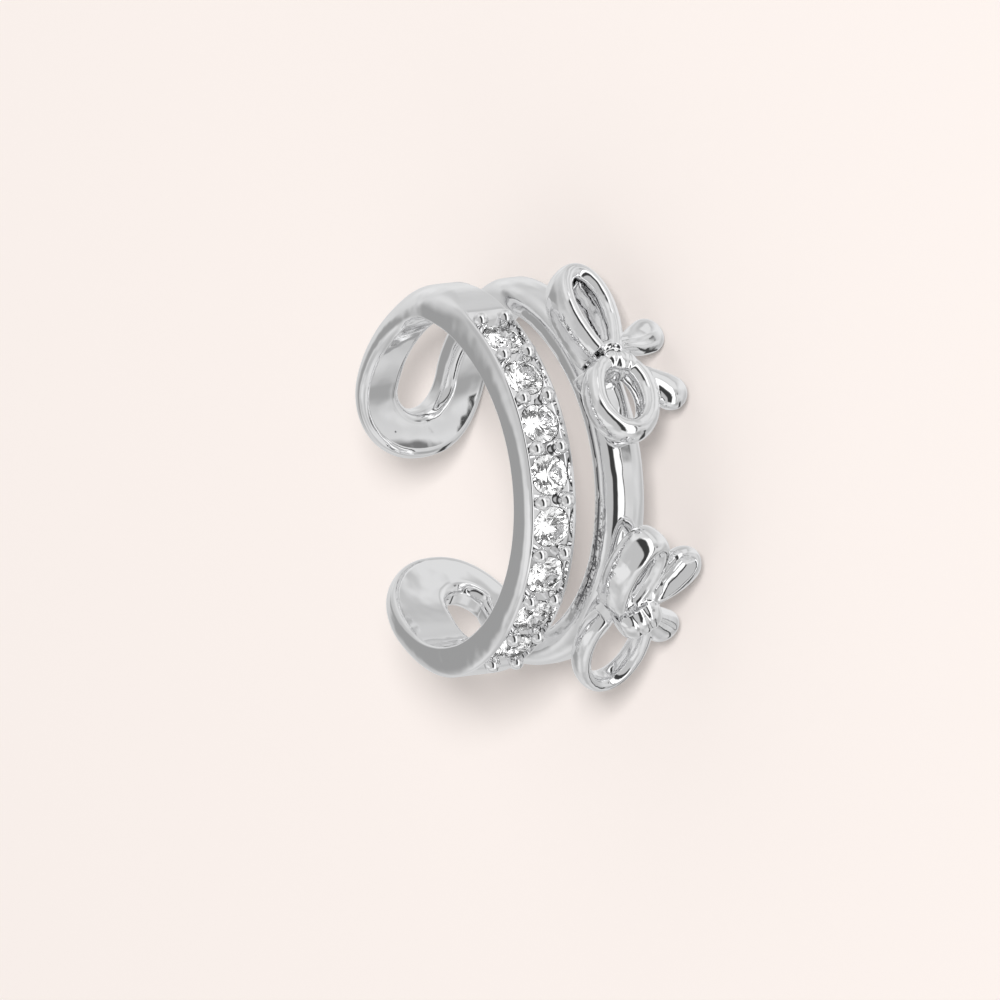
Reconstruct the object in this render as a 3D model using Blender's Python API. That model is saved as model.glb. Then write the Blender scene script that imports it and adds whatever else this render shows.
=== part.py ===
"""Double-band ear cuff: a stone band and a bow band that merge at both ends of an open C.

The cuff is worked out upright in its own drawing frame and then laid down on its side:
x runs to the front of the C, y runs up the C, z runs along the axis towards the stone band.
"""
import math

import bmesh
import bpy
import numpy as np
from mathutils import Matrix, Vector

MM = 0.001

# The C seen along its axis
INNER_RADIUS = 5.15 * MM
LOWER_TIP_ANGLE = -136
UPPER_TIP_ANGLE = 181

# Rows: angle in degrees, distance of the inner surface from the axis as a share of INNER_RADIUS
C_SHAPE = (
    (-155, 0.820),
    (-140, 0.845),
    (-112, 0.900),
    (-90, 0.967),
    (-60, 1.013),
    (-30, 1.053),
    (0, 1.075),
    (30, 1.053),
    (60, 1.013),
    (90, 0.993),
    (120, 0.928),
    (150, 0.888),
    (185, 0.758),
    (205, 0.680),
)
CURVE_SAMPLES = 1301

# The stones and the lips on both sides of their row
STONE_COUNT = 8
STONE_DIAMETER = 1.26 * MM
STONE_SPACING = 0.37 * MM
STONE_CLEARANCE = 0.045 * MM
FIRST_STONE_ANGLE = 54
SLOT_LIP = 0.14 * MM
RIM_LEDGE = 0.21 * MM
TABLE_SHARE = 0.56
CROWN_SHARE = 0.155
GIRDLE_SHARE = 0.03
PAVILION_SHARE = 0.42
STONE_SIDES = 16

# The bands, across and through
STONE_BAND_WIDTH = SLOT_LIP + STONE_DIAMETER + 2 * STONE_CLEARANCE + RIM_LEDGE
BOW_BAND_WIDTH = 1.42 * MM
BAND_GAP = 1.27 * MM
STONE_BAND_THICKNESS = 0.98 * MM
BOW_BAND_THICKNESS = 0.92 * MM
END_THICKNESS = 1.04 * MM
TIP_LENGTH = 2.50 * MM
TIP_WEB = 1.35 * MM
TIP_SQUARENESS = 2.2
FRONT_ENDS_AT = 80
BACK_STARTS_AT = 118
SECTIONS_ALONG = 46
SECTIONS_ROUND_END = 10
HALVINGS = 40

# Past the bands, at each end: how far the rim draws in, and the widths across the strips and the slot
UPPER_INSET = 0.40 * MM
UPPER_STONE_STRIP = 1.45 * MM
UPPER_GAP = 1.65 * MM
UPPER_BOW_STRIP = 1.50 * MM
LOWER_INSET = 0.15 * MM
LOWER_STONE_STRIP = 2.05 * MM
LOWER_GAP = 1.22 * MM
LOWER_BOW_STRIP = 1.23 * MM

# Edge roundings
SHARP_EDGE = 0.10 * MM
SOFT_EDGE = 0.30 * MM
LIP_EDGE = 0.06 * MM
CORNER_STEPS = 3
SHARP_FROM = 40
SHOULDER_ACROSS = 0.16 * MM
SHOULDER_DEPTH = 0.34 * MM
BOW_CROWN_ACROSS = 0.58 * MM
BOW_CROWN_DEPTH = 0.46 * MM

# What holds the stones
CHANNEL_DEPTH = 0.14 * MM
CHANNEL_WALL = 0.04 * MM
CHANNEL_FULL_TO = 0.625
CHANNEL_ENDS_AT = 0.875
BEAD_RADIUS = 0.21 * MM
BEAD_HEIGHT = 0.10 * MM
BEAD_SIDES = 10
BEAD_HEAD_FROM = 0.6
BEAD_HEAD_ANGLES = (35, 68)

# The bows
KNOT_SEAT = 0.34 * MM
KNOT_ALONG = 0.50 * MM
KNOT_ACROSS = 0.80 * MM
KNOT_HEIGHT = 0.56 * MM
KNOT_SQUARENESS = 0.7
WIRE_WIDTH = 0.52 * MM
WIRE_DEPTH = 0.86 * MM
WIRE_ROOT_SHARE = 0.55
WIRE_SIDES = 8
LOOP_FROM = 20
LOOP_SWEEP = 320
LOOP_STEPS = 22
LOOP_FULLNESS = 1.12
LOOP_TAPER = 0.9
TAIL_DEPTH_SHARE = 0.85
TAIL_STEPS = 9
TAIL_SPACING = 1.6
TAIL_ROOT_SHARE = 0.55
TAIL_FULL_AT = 0.7
TAIL_ROUND_FROM = 0.72
TAIL_ROUND_LENGTH = 0.285
KNOT_RINGS = 8
KNOT_SIDES = 12

# Each bow: its size, the angle round the C, and the knot's place from the bow band's middle towards
# the stone band. Each petal's tip from the knot, in shares of the size: along the band, across it,
# outwards, and the petal's outer width.
UPPER_BOW_SIZE = 3.70 * MM
UPPER_BOW_ACROSS = -0.36 * MM
LOWER_BOW_SIZE = 3.10 * MM
LOWER_BOW_ACROSS = -0.50 * MM
BOWS = {
    "upper": {
        "size": UPPER_BOW_SIZE,
        "angle": 38,
        "across": UPPER_BOW_ACROSS,
        "loops": ((0.995, 0.149, 0.0, 0.473), (-0.703, 0.284, 0.0, 0.635)),
        "tails": ((0.270, -0.486, 0.027, 0.284), (-0.446, -0.459, 0.0, 0.297)),
    },
    "lower": {
        "size": LOWER_BOW_SIZE,
        "angle": -29,
        "across": LOWER_BOW_ACROSS,
        "loops": ((0.984, 0.113, 0.0, 0.484), (-0.919, 0.226, 0.177, 0.790)),
        "tails": ((0.613, -0.565, 0.0, 0.323), (-0.484, -0.694, 0.0, 0.371)),
    },
}

COLOURS = {
    "silver": ((0.80, 0.80, 0.81), 0.08, 1.0),
    "stone": ((0.93, 0.95, 0.97), 0.02, 0.0),
}


def clear_scene():
    for old in list(bpy.data.objects):
        bpy.data.objects.remove(old)


def material(name):
    colour, roughness, metallic = COLOURS[name]
    made = bpy.data.materials.new(name)
    made.use_nodes = True
    shader = made.node_tree.nodes["Principled BSDF"]
    shader.inputs["Base Color"].default_value = (*colour, 1)
    shader.inputs["Roughness"].default_value = roughness
    shader.inputs["Metallic"].default_value = metallic
    return made


def smooth_step(x):
    x = min(max(x, 0.0), 1.0)
    return x * x * (3 - 2 * x)


def blend(first, second, share):
    return tuple(a + share * (b - a) for a, b in zip(first, second))


class CCurve:
    """The inner surface of the C, as a smooth curve measured by its length from the front."""

    def __init__(self):
        angles = np.radians([row[0] for row in C_SHAPE])
        radii = INNER_RADIUS * np.array([row[1] for row in C_SHAPE])
        self.angles = np.radians(np.linspace(C_SHAPE[0][0], C_SHAPE[-1][0], CURVE_SAMPLES))
        radius = self.spline(angles, radii, self.angles)
        self.points = np.stack([radius * np.cos(self.angles), radius * np.sin(self.angles)], 1)
        steps = np.linalg.norm(np.diff(self.points, axis=0), axis=1)
        lengths = np.concatenate([[0], np.cumsum(steps)])
        self.lengths = lengths - np.interp(0, self.angles, lengths)
        along = np.gradient(self.points, self.lengths, axis=0)
        self.along = along / np.linalg.norm(along, axis=1)[:, None]

    @staticmethod
    def spline(x, y, at):
        """A natural cubic spline through the rows."""
        gaps = np.diff(x)
        slopes = np.diff(y) / gaps
        matrix = np.eye(len(x))
        right = np.zeros(len(x))
        for i in range(1, len(x) - 1):
            matrix[i, i - 1 : i + 2] = gaps[i - 1], 2 * (gaps[i - 1] + gaps[i]), gaps[i]
            right[i] = 6 * (slopes[i] - slopes[i - 1])
        bend = np.linalg.solve(matrix, right)
        i = np.clip(np.searchsorted(x, at) - 1, 0, len(x) - 2)
        gap, left, rest = gaps[i], at - x[i], x[i + 1] - at
        cubic = (bend[i] * rest**3 + bend[i + 1] * left**3) / (6 * gap)
        return cubic + (y[i] / gap - bend[i] * gap / 6) * rest + (y[i + 1] / gap - bend[i + 1] * gap / 6) * left

    def length_at(self, degrees):
        return float(np.interp(math.radians(degrees), self.angles, self.lengths))

    def angle_at(self, length):
        return math.degrees(float(np.interp(length, self.lengths, self.angles)))

    def frame(self, length, across=0.0, out=0.0):
        """A matrix at this place: x along the C, y across it towards the stone band, z outwards."""
        x, y = (float(np.interp(length, self.lengths, self.points[:, i])) for i in (0, 1))
        ahead = (float(np.interp(length, self.lengths, self.along[:, i])) for i in (0, 1))
        along = Vector((*ahead, 0)).normalized()
        outwards = Vector((along.y, -along.x, 0))
        place = Vector((x, y, across)) + out * outwards
        return Matrix.Translation(place) @ Matrix((along, (0, 0, 1), outwards)).transposed().to_4x4()

    def place(self, length, across, out):
        return self.frame(length, across, out).translation


class Bands:
    """The flat outline of the cuff, unrolled: length along the C and distance across it."""

    def __init__(self, curve):
        self.curve = curve
        self.ends = (curve.length_at(LOWER_TIP_ANGLE), curve.length_at(UPPER_TIP_ANGLE))

    def edges(self, length):
        """The two edges of the stone band, then those of the bow band, before the tips close."""
        angle = abs(self.curve.angle_at(length))
        back = smooth_step((angle - FRONT_ENDS_AT) / (BACK_STARTS_AT - FRONT_ENDS_AT))
        if length > 0:
            end = (UPPER_INSET, UPPER_STONE_STRIP, UPPER_GAP, UPPER_BOW_STRIP)
        else:
            end = (LOWER_INSET, LOWER_STONE_STRIP, LOWER_GAP, LOWER_BOW_STRIP)
        inset, stone_width, gap, bow_width = blend((0, STONE_BAND_WIDTH, BAND_GAP, BOW_BAND_WIDTH), end, back)
        rim = BAND_GAP / 2 + STONE_BAND_WIDTH - inset
        return rim, rim - stone_width, rim - stone_width - gap, rim - stone_width - gap - bow_width

    def tip_share(self, length):
        """How far the rim has closed in at this place: 1 in the straight part, 0 at the very tip."""
        upper = length > 0
        tip = self.ends[1] if upper else self.ends[0]
        past = 1 - abs(tip - length) / TIP_LENGTH
        past = min(max(past, 0.0), 1.0)
        return (1 - past**TIP_SQUARENESS) ** (1 / TIP_SQUARENESS)

    def rim(self, length, side):
        near, _, _, far = self.edges(length)
        middle = (near + far) / 2
        half = (near - far) / 2 * self.tip_share(length)
        return middle + side * half

    def slot_end(self, upper):
        """Centre and radius of the round end of the slot."""
        sign = 1 if upper else -1
        tip = self.ends[1] if upper else self.ends[0]
        _, near, far, _ = self.edges(tip)
        radius = (near - far) / 2
        return tip - sign * (TIP_WEB + radius), (near + far) / 2, radius

    def rays(self, upper, count):
        """Pairs of points, slot side and rim side, fanned round the end of the slot."""
        sign = 1 if upper else -1
        length, across, radius = self.slot_end(upper)
        found = []
        for i in range(1, count):
            turn = math.pi * (0.5 - i / count)
            ahead, aside = sign * math.cos(turn), math.sin(turn)
            short, long = radius, 4 * STONE_BAND_WIDTH
            for _ in range(HALVINGS):
                reach = (short + long) / 2
                at, over = length + reach * ahead, across + reach * aside
                past_tip = sign * (at - (self.ends[1] if upper else self.ends[0])) > 0
                side = 1 if over > self.rim(at, 0) else -1
                outside = past_tip or side * (over - self.rim(at, side)) > 0
                short, long = (short, reach) if outside else (reach, long)
            slot = (length + radius * ahead, across + radius * aside)
            found.append((slot, (length + short * ahead, across + short * aside)))
        return found


def corner(x, y, across, up, start):
    """A quarter round, from this direction on, turning anticlockwise."""
    turns = (math.radians(start + 90 * i / CORNER_STEPS) for i in range(CORNER_STEPS + 1))
    return [(x + across * math.cos(turn), y + up * math.sin(turn)) for turn in turns]


def profile(width, thickness, slot_round, rim_round, bottom, channel):
    """A section of the band: x runs from the slot to the rim, y outwards. The walk is anticlockwise."""
    half = width / 2
    slot_x, slot_y = slot_round
    rim_x, rim_y = rim_round
    floor_from, floor_to, depth = channel
    return (
        corner(half - bottom, bottom, bottom, bottom, -90)
        + corner(half - rim_x, thickness - rim_y, rim_x, rim_y, 0)
        + [
            (floor_to + CHANNEL_WALL / 2, thickness),
            (floor_to - CHANNEL_WALL / 2, thickness - depth),
            (floor_from + CHANNEL_WALL / 2, thickness - depth),
            (floor_from - CHANNEL_WALL / 2, thickness),
        ]
        + corner(slot_x - half, thickness - slot_y, slot_x, slot_y, 90)
        + corner(bottom - half, bottom, bottom, bottom, 180)
    )


class Cuff:
    def __init__(self):
        self.curve = CCurve()
        self.bands = Bands(self.curve)
        first = self.curve.length_at(FIRST_STONE_ANGLE)
        pitch_outside = STONE_DIAMETER + STONE_SPACING
        self.pitch = pitch_outside * INNER_RADIUS / (INNER_RADIUS + STONE_BAND_THICKNESS)
        self.stone_places = [first - i * self.pitch for i in range(STONE_COUNT)]
        self.row_from_edge = RIM_LEDGE + STONE_CLEARANCE + STONE_DIAMETER / 2
        self.row_across = self.bands.edges(0)[0] - self.row_from_edge

    def section(self, slot, rim, band):
        """The points of one section between the slot's edge and the rim, bent round the C."""
        length = (slot[0] + rim[0]) / 2
        width = math.dist(slot, rim)
        angle = abs(self.curve.angle_at(length))
        back = smooth_step((angle - FRONT_ENDS_AT) / (BACK_STARTS_AT - FRONT_ENDS_AT))
        soft = (SOFT_EDGE, SOFT_EDGE)
        if band == "stone":
            front = ((LIP_EDGE, LIP_EDGE), (SHOULDER_ACROSS, SHOULDER_DEPTH))
            thickness = STONE_BAND_THICKNESS
        else:
            front = 2 * ((BOW_CROWN_ACROSS, BOW_CROWN_DEPTH),)
            thickness = BOW_BAND_THICKNESS
        slot_round, rim_round = blend(front[0], soft, back), blend(front[1], soft, back)
        thickness += back * (END_THICKNESS - thickness)
        bottom = (SHARP_EDGE + blend((SHARP_EDGE,), (SOFT_EDGE,), back)[0]) / 2
        flat = width - slot_round[0] - rim_round[0]
        middle = (slot_round[0] - rim_round[0]) / 2
        channel = (middle - flat / 4, middle + flat / 4, 0.0)
        if band == "stone":
            row = width / 2 - self.row_from_edge
            reach = STONE_DIAMETER / 2 + STONE_CLEARANCE
            cut = (row - reach, row + reach, CHANNEL_DEPTH * self.channel_share(length))
            channel = blend(cut, channel, back)
        points = []
        for x, y in profile(width, thickness, slot_round, rim_round, bottom, channel):
            share = x / width + 0.5
            at = slot[0] + share * (rim[0] - slot[0])
            over = slot[1] + share * (rim[1] - slot[1])
            points.append(self.curve.place(at, over, y))
        return points

    def channel_share(self, length):
        """The channel runs out just past the first and the last stone."""
        past = max(length - self.stone_places[0], self.stone_places[-1] - length) / self.pitch
        return 1 - smooth_step((past - CHANNEL_FULL_TO) / (CHANNEL_ENDS_AT - CHANNEL_FULL_TO))

    def sections(self):
        upper, lower = self.bands.slot_end(True)[0], self.bands.slot_end(False)[0]
        lengths = [lower + (upper - lower) * i / SECTIONS_ALONG for i in range(SECTIONS_ALONG + 1)]
        made = []
        for length in lengths:
            edges = self.bands.edges(length)
            made.append(self.section((length, edges[1]), (length, self.bands.rim(length, 1)), "stone"))
        for slot, rim in self.bands.rays(True, SECTIONS_ROUND_END):
            made.append(self.section(slot, rim, "bow"))
        for length in reversed(lengths):
            edges = self.bands.edges(length)
            made.append(self.section((length, edges[2]), (length, self.bands.rim(length, -1)), "bow"))
        for slot, rim in reversed(self.bands.rays(False, SECTIONS_ROUND_END)):
            made.append(self.section(slot, rim, "bow"))
        return made


def mesh_object(name, points, faces, look=None):
    mesh = bpy.data.meshes.new(name)
    mesh.from_pydata([tuple(p) for p in points], [], faces)
    mesh.validate()
    made = bpy.data.objects.new(name, mesh)
    bpy.context.collection.objects.link(made)
    work = bmesh.new()
    work.from_mesh(mesh)
    bmesh.ops.recalc_face_normals(work, faces=work.faces)
    work.to_mesh(mesh)
    work.free()
    if look:
        mesh.materials.append(look)
    return made


def skin(name, rings, closed, look=None):
    """One closed surface over rings of points. An open one is closed at both ends."""
    sides = len(rings[0])
    points = [point for ring in rings for point in ring]
    faces = []
    for i in range(len(rings) - (0 if closed else 1)):
        here, there = i * sides, (i + 1) % len(rings) * sides
        for j in range(sides):
            k = (j + 1) % sides
            faces.append((here + j, here + k, there + k, there + j))
    if not closed:
        faces.append(tuple(range(sides)))
        faces.append(tuple(range(len(points) - sides, len(points))))
    return mesh_object(name, points, faces, look)


def helper(made):
    made.hide_render = True
    made.display_type = "WIRE"
    return made


def combine(target, others, operation):
    """Adds or cuts every helper, then deletes it."""
    for other in others:
        modifier = target.modifiers.new(other.name, "BOOLEAN")
        modifier.operation = operation
        modifier.solver = "EXACT"
        modifier.object = other
    graph = bpy.context.evaluated_depsgraph_get()
    result = bpy.data.meshes.new_from_object(target.evaluated_get(graph))
    target.modifiers.clear()
    target.data = result
    for other in others:
        bpy.data.objects.remove(other)


def stone_rings(grow, cutter):
    """Radius and height of a brilliant's rings above its girdle, or those of the hole that it sits in."""
    radius = STONE_DIAMETER / 2
    girdle = GIRDLE_SHARE * STONE_DIAMETER
    crown = CROWN_SHARE * STONE_DIAMETER
    if cutter:
        return ((radius + grow, 2 * crown + girdle), (radius + grow, 0.0))
    return ((TABLE_SHARE * radius, girdle + crown), (radius, girdle), (radius, 0.0))


def stone_mesh(name, look, grow=0.0, cutter=False):
    """A round stone, or the hole that it sits in, about its own axis with the girdle at height 0."""
    points = []
    rings = stone_rings(grow, cutter)
    for i, (radius, height) in enumerate(rings):
        turned = math.pi / STONE_SIDES if i == 0 and not cutter else 0.0
        for j in range(STONE_SIDES):
            turn = 2 * math.pi * j / STONE_SIDES + turned
            points.append((radius * math.cos(turn), radius * math.sin(turn), height))
    culet = -PAVILION_SHARE * STONE_DIAMETER - grow
    points.append((0, 0, culet))
    last = (len(rings) - 1) * STONE_SIDES
    faces = [tuple(range(STONE_SIDES))]
    for i in range(len(rings) - 1):
        for j in range(STONE_SIDES):
            k = (j + 1) % STONE_SIDES
            here, there = i * STONE_SIDES, (i + 1) * STONE_SIDES
            faces.append((here + j, there + j, there + k, here + k))
    faces += [(last + (j + 1) % STONE_SIDES, last + j, len(points) - 1) for j in range(STONE_SIDES)]
    return mesh_object(name, points, faces, look)


def bead(cuff, name, length, across):
    """A prong that stands between two stones, with a round head."""
    frame = cuff.curve.frame(length, across, STONE_BAND_THICKNESS - CHANNEL_DEPTH)
    head = CHANNEL_DEPTH + BEAD_HEIGHT - BEAD_HEAD_FROM * BEAD_RADIUS
    heights = [(-CHANNEL_DEPTH, 1.0), (head, 1.0)]
    for turn in map(math.radians, BEAD_HEAD_ANGLES):
        heights.append((head + BEAD_RADIUS * math.sin(turn), math.cos(turn)))
    rings = [
        [
            frame @ Vector((share * BEAD_RADIUS * math.cos(turn), share * BEAD_RADIUS * math.sin(turn), height))
            for turn in (2 * math.pi * j / BEAD_SIDES for j in range(BEAD_SIDES))
        ]
        for height, share in heights
    ]
    return helper(skin(name, rings, False))


def tube(name, path, widths, depths, up):
    """A wire along a path: its width lies across the path, its depth along the up direction."""
    rings = []
    for i, point in enumerate(path):
        along = (path[min(i + 1, len(path) - 1)] - path[max(i - 1, 0)]).normalized()
        side = along.cross(up).normalized()
        lift = side.cross(along).normalized()
        ring = []
        for j in range(WIRE_SIDES):
            turn = 2 * math.pi * (j + 0.5) / WIRE_SIDES
            across, height = math.cos(turn) * widths[i] / 2, math.sin(turn) * depths[i] / 2
            ring.append(point + across * side + height * lift)
        rings.append(ring)
    return helper(skin(name, rings, False))


def square(x):
    """A sine or cosine pushed outwards, which makes a round form boxier."""
    return math.copysign(abs(x) ** KNOT_SQUARENESS, x)


def loop_path(knot, tip, width):
    """The middle line of one open loop, from the knot out to its tip and back."""
    reach = tip.length - WIRE_WIDTH / 2
    ahead = tip.normalized()
    aside = Vector((0, 0, 1)).cross(ahead).normalized()
    path = []
    for j in range(LOOP_STEPS + 1):
        turn = math.radians(LOOP_FROM + LOOP_SWEEP * j / LOOP_STEPS)
        forth = reach * (1 - math.cos(turn)) / 2
        swing = (width - WIRE_WIDTH) / 2 * LOOP_FULLNESS * math.sin(turn) * math.sin(turn / 2) ** LOOP_TAPER
        swing += WIRE_ROOT_SHARE * WIRE_WIDTH * math.cos(turn / 2)
        path.append(knot @ (forth * ahead + swing * aside))
    return path


def tail_path(knot, tip, width):
    """The middle line of one tail and its width at each place: it swells and then ends round."""
    path, widths = [], []
    for j in range(TAIL_STEPS + 1):
        share = 1 - (1 - j / TAIL_STEPS) ** TAIL_SPACING
        path.append(knot @ (tip * share))
        round_end = math.sqrt(max(1 - (max(share - TAIL_ROUND_FROM, 0) / TAIL_ROUND_LENGTH) ** 2, 0))
        swell = TAIL_ROOT_SHARE + (1 - TAIL_ROOT_SHARE) * smooth_step(share / TAIL_FULL_AT)
        widths.append(width * swell * round_end)
    return path, widths


def knot_rings(knot):
    rings = []
    for i in range(1, KNOT_RINGS):
        turn = math.pi * i / KNOT_RINGS
        wide, across = square(math.sin(turn)), KNOT_ACROSS * square(math.cos(turn))
        ring = []
        for j in range(KNOT_SIDES):
            around = 2 * math.pi * (j + 0.5) / KNOT_SIDES
            along = KNOT_ALONG * wide * square(math.cos(around))
            ring.append(knot @ Vector((along, across, KNOT_HEIGHT * wide * square(math.sin(around)))))
        rings.append(ring)
    return rings


def bow_pieces(cuff, name):
    """The two loops, the two tails and the knot of one bow, on the outer face of the bow band."""
    bow = BOWS[name]
    length = cuff.curve.length_at(bow["angle"])
    _, _, slot, rim = cuff.bands.edges(length)
    knot = cuff.curve.frame(length, (slot + rim) / 2 + bow["across"], BOW_BAND_THICKNESS + KNOT_SEAT)
    up = knot.to_3x3() @ Vector((0, 0, 1))
    made = []
    for i, (*tip, width) in enumerate(bow["loops"]):
        path = loop_path(knot, Vector(tip) * bow["size"], width * bow["size"])
        made.append(tube(f"{name}_loop_{i}", path, [WIRE_WIDTH] * len(path), [WIRE_DEPTH] * len(path), up))
    for i, (*tip, width) in enumerate(bow["tails"]):
        path, widths = tail_path(knot, Vector(tip) * bow["size"], width * bow["size"])
        made.append(tube(f"{name}_tail_{i}", path, widths, [TAIL_DEPTH_SHARE * wide for wide in widths], up))
    made.append(helper(skin(f"{name}_knot", knot_rings(knot), False)))
    return made


def rest_pose(objects):
    """The rigid move that lays the cuff on the face of its hull that lies below its centre of mass."""
    hull = bmesh.new()
    for made in objects:
        placed = made.data.copy()
        placed.transform(made.matrix_basis)
        hull.from_mesh(placed)
        bpy.data.meshes.remove(placed)
    bmesh.ops.triangulate(hull, faces=hull.faces)
    volume, centre = 0.0, Vector()
    for face in hull.faces:
        a, b, c = (v.co for v in face.verts)
        part = a.dot(b.cross(c)) / 6
        volume += part
        centre += part * (a + b + c) / 4
    centre /= volume
    points = [v.co.copy() for v in hull.verts]
    hull.free()
    hull = bmesh.new()
    for point in points:
        hull.verts.new(point)
    bmesh.ops.convex_hull(hull, input=hull.verts)
    hull.normal_update()
    down = min((f for f in hull.faces if stands_over(f, centre)), key=lambda f: f.normal.z).normal.copy()
    hull.free()
    turn = down.rotation_difference(Vector((0, 0, -1))).to_matrix().to_4x4()
    corners = [turn @ point for point in points]
    low = Vector([min(p[i] for p in corners) for i in range(3)])
    high = Vector([max(p[i] for p in corners) for i in range(3)])
    return Matrix.Translation((-(low.x + high.x) / 2, -(low.y + high.y) / 2, -low.z)) @ turn


def stands_over(face, centre):
    """Whether the centre, dropped along the face's normal, falls inside the face."""
    corners = [v.co for v in face.verts]
    for a, b in zip(corners, corners[1:] + corners[:1]):
        if (b - a).cross(centre - a).dot(face.normal) < 0:
            return False
    return True


def build():
    clear_scene()
    silver, clear = material("silver"), material("stone")
    cuff = Cuff()
    frame = skin("cuff_frame", cuff.sections(), True, silver)
    girdle = STONE_BAND_THICKNESS - CHANNEL_DEPTH - STONE_CLEARANCE / 2
    stones, seats = [], []
    for i, length in enumerate(cuff.stone_places):
        place = cuff.curve.frame(length, cuff.row_across, girdle)
        stones.append(stone_mesh(f"stone_{i + 1}", clear))
        seats.append(helper(stone_mesh(f"seat_{i + 1}", None, STONE_CLEARANCE, True)))
        for made in (stones[-1], seats[-1]):
            made.matrix_basis = place
    combine(frame, seats, "DIFFERENCE")
    added = []
    bead_offset = STONE_DIAMETER / 2 - BEAD_RADIUS
    for i in range(STONE_COUNT + 1):
        length = cuff.stone_places[0] + (0.5 - i) * cuff.pitch
        for side in (-1, 1):
            added.append(bead(cuff, f"bead_{i}_{side}", length, cuff.row_across + side * bead_offset))
    for name in BOWS:
        added += bow_pieces(cuff, name)
    combine(frame, added, "UNION")
    frame.data.shade_smooth()
    frame.data.set_sharp_from_angle(angle=math.radians(SHARP_FROM))
    cuff_whole = bpy.data.objects.new("cuff", None)
    bpy.context.collection.objects.link(cuff_whole)
    cuff_whole.matrix_basis = rest_pose([frame] + stones)
    for made in [frame] + stones:
        made.parent = cuff_whole


build()
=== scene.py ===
import math
import random

import bmesh
import bpy
import numpy as np
from mathutils import Matrix, Vector


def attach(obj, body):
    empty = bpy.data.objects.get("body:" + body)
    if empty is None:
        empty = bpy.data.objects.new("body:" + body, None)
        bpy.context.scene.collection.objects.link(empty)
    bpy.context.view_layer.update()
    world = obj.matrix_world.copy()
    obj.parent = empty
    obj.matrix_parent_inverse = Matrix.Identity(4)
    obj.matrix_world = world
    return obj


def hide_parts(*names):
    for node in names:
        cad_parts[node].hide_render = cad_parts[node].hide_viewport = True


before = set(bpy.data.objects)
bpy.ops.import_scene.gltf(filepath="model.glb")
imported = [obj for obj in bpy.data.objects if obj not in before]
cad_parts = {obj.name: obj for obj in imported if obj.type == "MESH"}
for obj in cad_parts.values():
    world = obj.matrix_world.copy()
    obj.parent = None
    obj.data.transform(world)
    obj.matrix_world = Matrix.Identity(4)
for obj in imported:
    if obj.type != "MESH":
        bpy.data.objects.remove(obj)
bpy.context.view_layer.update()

# The cuff is drawn upright and in millimetres: x to the front of the C, y up it, z along its axis
# towards the stones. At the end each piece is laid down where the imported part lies, in metres.

bands = {
    "innerRadius": 5.15,
    "lowerTip": -136,
    "upperTip": 181,
    # angle in degrees, distance of the inner surface from the axis as a share of the inner radius
    "shape": (
        (-155, 0.820), (-140, 0.845), (-112, 0.900), (-90, 0.967), (-60, 1.013), (-30, 1.053), (0, 1.075),
        (30, 1.053), (60, 1.013), (90, 0.993), (120, 0.928), (150, 0.888), (185, 0.758), (205, 0.680),
    ),
    "stoneWidth": 1.70,
    "bowWidth": 1.42,
    "gap": 1.27,
    "stoneThickness": 0.98,
    "bowThickness": 0.92,
    "endThickness": 1.04,
    "tipLength": 2.50,
    "tipWeb": 1.35,
    "tipSquareness": 2.2,
    "frontEndsAt": 80,
    "backStartsAt": 118,
    "upperEnd": {"inset": 0.40, "stoneStrip": 1.45, "gap": 1.65, "bowStrip": 1.50},
    "lowerEnd": {"inset": 0.15, "stoneStrip": 2.05, "gap": 1.22, "bowStrip": 1.23},
    "sharpEdge": 0.10,
    "softEdge": 0.38,
    "lipEdge": 0.06,
    "shoulderAcross": 0.16,
    "shoulderDepth": 0.34,
    "crownAcross": 0.62,
    "crownDepth": 0.46,
    # the rim's shoulder deepens, then rounds over, each from its first angle to its second
    "upperRim": {"deep": (0.19, 0.80), "deepens": (8, 60), "soft": (0.90, 0.78), "softens": (63, 88)},
    "lowerRim": {"deep": (0.18, 0.52), "deepens": (25, 62), "soft": (0.52, 0.64), "softens": (63, 98)},
    "slotFoot": (0.16, 0.30),
    "rimTipFoot": 0.25,
    "slotTipFoot": 0.38,
    "dish": 0.02,
    "slotBulge": 0.10,
    "pointsOnC": 2601,
    "sectionsAlong": 250,
    "sectionsRoundEnd": 40,
    "halvings": 44,
    "stepsRoundCorner": 10,
    # steps after each run of the profile, walked from the rim's foot
    "stepsAfterRuns": (6, 4, 3, 12, 3, 4, 4, 1, 1, 4, 14),
    "sharpAngle": 38,
}

stoneRow = {
    "count": 8,
    "diameter": 1.26,
    "pitch": 1.63,
    "firstAngle": 54,
    "fromEdge": 0.885,
    "table": 0.56,
    "crown": 0.155,
    "girdle": 0.03,
    "pavilion": 0.42,
    "clearance": 0.045,
    "channelDepth": 0.14,
    "channelWall": 0.04,
    "channelFullTo": 0.625,
    "channelEndsAt": 0.875,
    "cadSides": 16,
    "starTip": 0.78,
    "lowerTip": 0.24,
    "lean": 2.5,
    "seed": 7,
    "seatSides": 48,
    "seatPlay": 0.6,
    "seatTop": 0.35,
    "seatFoot": 0.04,
}

# A casting seam along the bow band's slot side, gritty towards the lower bow; its groove and pits get painted
# shade, a dark grey
seam = {
    "height": 0.38,
    "width": 0.07,
    "depth": 0.06,
    "seed": 3,
    "unevenness": (0.5, 1.0),
    "overFoot": 0.01,
    "marksReach": 0.30,
    # these in degrees along the C
    "from": -40,
    "to": 40,
    "fadesOver": 8,
    "grittyBelow": 4,
    "gritFadesOver": 14,
    "marksFadeOver": 6,
}


def smoothStep(x):
    x = min(max(x, 0.0), 1.0)
    return x * x * (3 - 2 * x)


def mixed(first, second, share):
    return tuple(a + share * (b - a) for a, b in zip(first, second))


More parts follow.
